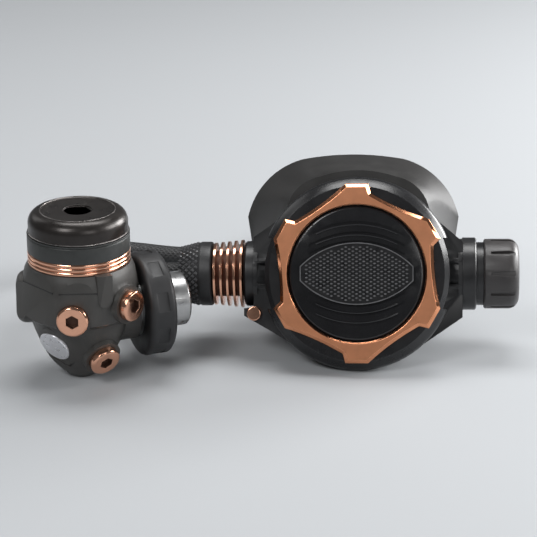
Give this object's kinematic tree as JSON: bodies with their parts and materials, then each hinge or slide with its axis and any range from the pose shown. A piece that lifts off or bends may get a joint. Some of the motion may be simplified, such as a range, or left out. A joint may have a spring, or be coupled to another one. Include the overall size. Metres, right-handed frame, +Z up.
{
  "type": "scuba regulator set",
  "caption": "Scuba regulator set: a first stage with a handwheel and cylinder connector, a low pressure hose, and a second stage with purge cover, adjusting knob and mouthpiece.",
  "frame": {"origin": "centre of the floor under the two stages, the hose left out", "axes": "+X to the right along both stages, +Y to the back where the hose lies, +Z up"},
  "size_m": [0.2128, 0.2135, 0.077],
  "materials": {
    "first_stage_metal": "satin charcoal coating",
    "rose_gold": "polished rose gold coating",
    "bezel_copper": "satin copper coating with bright edges",
    "badge_silver": "brushed",
    "cap_metal": "satin brown black coating",
    "housing_metal": "satin dark grey coating",
    "steel": "machined",
    "spring_steel": "drawn wire",
    "chrome": "polished",
    "filter_bronze": "sintered",
    "valve_plastic": "matt",
    "seal_rubber": "matt",
    "wheel_rubber": "matt, moulded",
    "case_plastic": "fine satin",
    "ring_plastic": "gloss",
    "cover_plastic": "satin",
    "label_plastic": "knurled, dark",
    "knob_plastic": "satin brown black",
    "collar_plastic": "satin dark grey",
    "sleeve_rubber": "moulded diamond texture",
    "membrane_silicone": "translucent grey",
    "deflector_rubber": "semi-gloss",
    "mouthpiece_silicone": "soft satin",
    "hose_braid": "fine braided cover"
  },
  "bodies": {
    "regulator": {"first_stage_body": "first_stage_metal", "low_pressure_plugs": "rose_gold", "high_pressure_plug": "rose_gold", "port_seals": "seal_rubber", "badge_disc": "badge_silver", "diaphragm_clamp_ring": "rose_gold", "spring_housing": "housing_metal", "end_cap": "cap_metal", "first_stage_diaphragm": "seal_rubber", "main_spring": "spring_steel", "adjusting_screw": "steel", "high_pressure_seat": "steel", "inlet_stem": "chrome", "connector_seal": "seal_rubber", "inlet_filter": "filter_bronze", "second_stage_case": "case_plastic", "cover_ring": "ring_plastic", "bezel": "bezel_copper", "diaphragm_guard": "valve_plastic", "purge_spring": "spring_steel", "diaphragm": "membrane_silicone", "valve_barrel": "chrome", "orifice": "steel", "demand_spring": "spring_steel", "knob_collar": "collar_plastic", "inlet_neck": "chrome", "inlet_tube": "chrome", "heat_exchanger": "rose_gold", "hose_ferrule": "chrome", "hose_sleeve": "sleeve_rubber", "lock_button": "rose_gold", "exhaust_valve": "membrane_silicone", "exhaust_deflector": "deflector_rubber", "mouthpiece": "mouthpiece_silicone", "mouthpiece_strap": "case_plastic", "hose_fitting": "chrome", "hose": "hose_braid"},
    "handwheel": {"handwheel": "wheel_rubber", "cylinder_connector": "chrome"},
    "purge_button": {"purge_cover": "cover_plastic", "label_plate": "label_plastic"},
    "diaphragm_plate": {"diaphragm_plate": "steel"},
    "demand_lever": {"demand_lever": "steel"},
    "demand_poppet": {"demand_poppet": "valve_plastic"},
    "adjusting_knob": {"adjusting_knob": "knob_plastic"},
    "breathing_adjuster": {"breathing_adjuster": "valve_plastic"},
    "first_stage_valve": {"spring_pad": "steel", "push_pin": "steel", "high_pressure_poppet": "valve_plastic"}
  },
  "joints": [
    {"name": "handwheel_turn", "type": "hinge", "parent": "regulator", "child": "handwheel", "pos_m": [-0.0796, -0.0307, 0.027], "axis": [0.9272, 0.3746, 0], "continuous": true},
    {"name": "purge_press", "type": "slide", "parent": "regulator", "child": "purge_button", "axis": [0.0732, 0.9307, -0.3584], "range_m": [0, 0.002], "stiffness_N_per_m": 600, "springref_m": -0.001, "deforming": ["purge_spring", "diaphragm"]},
    {"name": "diaphragm_travel", "type": "slide", "parent": "regulator", "child": "diaphragm_plate", "axis": [0.0732, 0.9307, -0.3584], "range_m": [0, 0.002]},
    {"name": "lever_tilt", "type": "hinge", "parent": "regulator", "child": "demand_lever", "pos_m": [0.04905, -0.00961, 0.03609], "axis": [-0.0003, -0.3593, -0.9332], "range_deg": [0, 6.3]},
    {"name": "poppet_travel", "type": "slide", "parent": "regulator", "child": "demand_poppet", "axis": [0.9973, -0.0685, 0.0261], "range_m": [0, 0.0006], "deforming": ["demand_spring"]},
    {"name": "knob_turn", "type": "hinge", "parent": "regulator", "child": "adjusting_knob", "pos_m": [0.03725, -0.00038, 0.03254], "axis": [0.9973, -0.0685, 0.0261], "range_deg": [0, 300]},
    {"name": "adjuster_travel", "type": "slide", "parent": "adjusting_knob", "child": "breathing_adjuster", "axis": [0.9973, -0.0685, 0.0261], "range_m": [0, 0.0013]},
    {"name": "first_stage_valve_travel", "type": "slide", "parent": "regulator", "child": "first_stage_valve", "axis": [0, 0, -1], "range_m": [0, 0.0005], "stiffness_N_per_m": 2000, "springref_m": -0.0002, "deforming": ["main_spring", "first_stage_diaphragm"]}
  ],
  "couplings": [
    {"joint": "diaphragm_travel", "follows": "purge_press", "ratio": 1},
    {"joint": "lever_tilt", "follows": "purge_press", "rad_per_m": 54.2},
    {"joint": "poppet_travel", "follows": "purge_press", "ratio": 0.25},
    {"joint": "adjuster_travel", "follows": "knob_turn", "m_per_rad": 0.00023873}
  ]
}
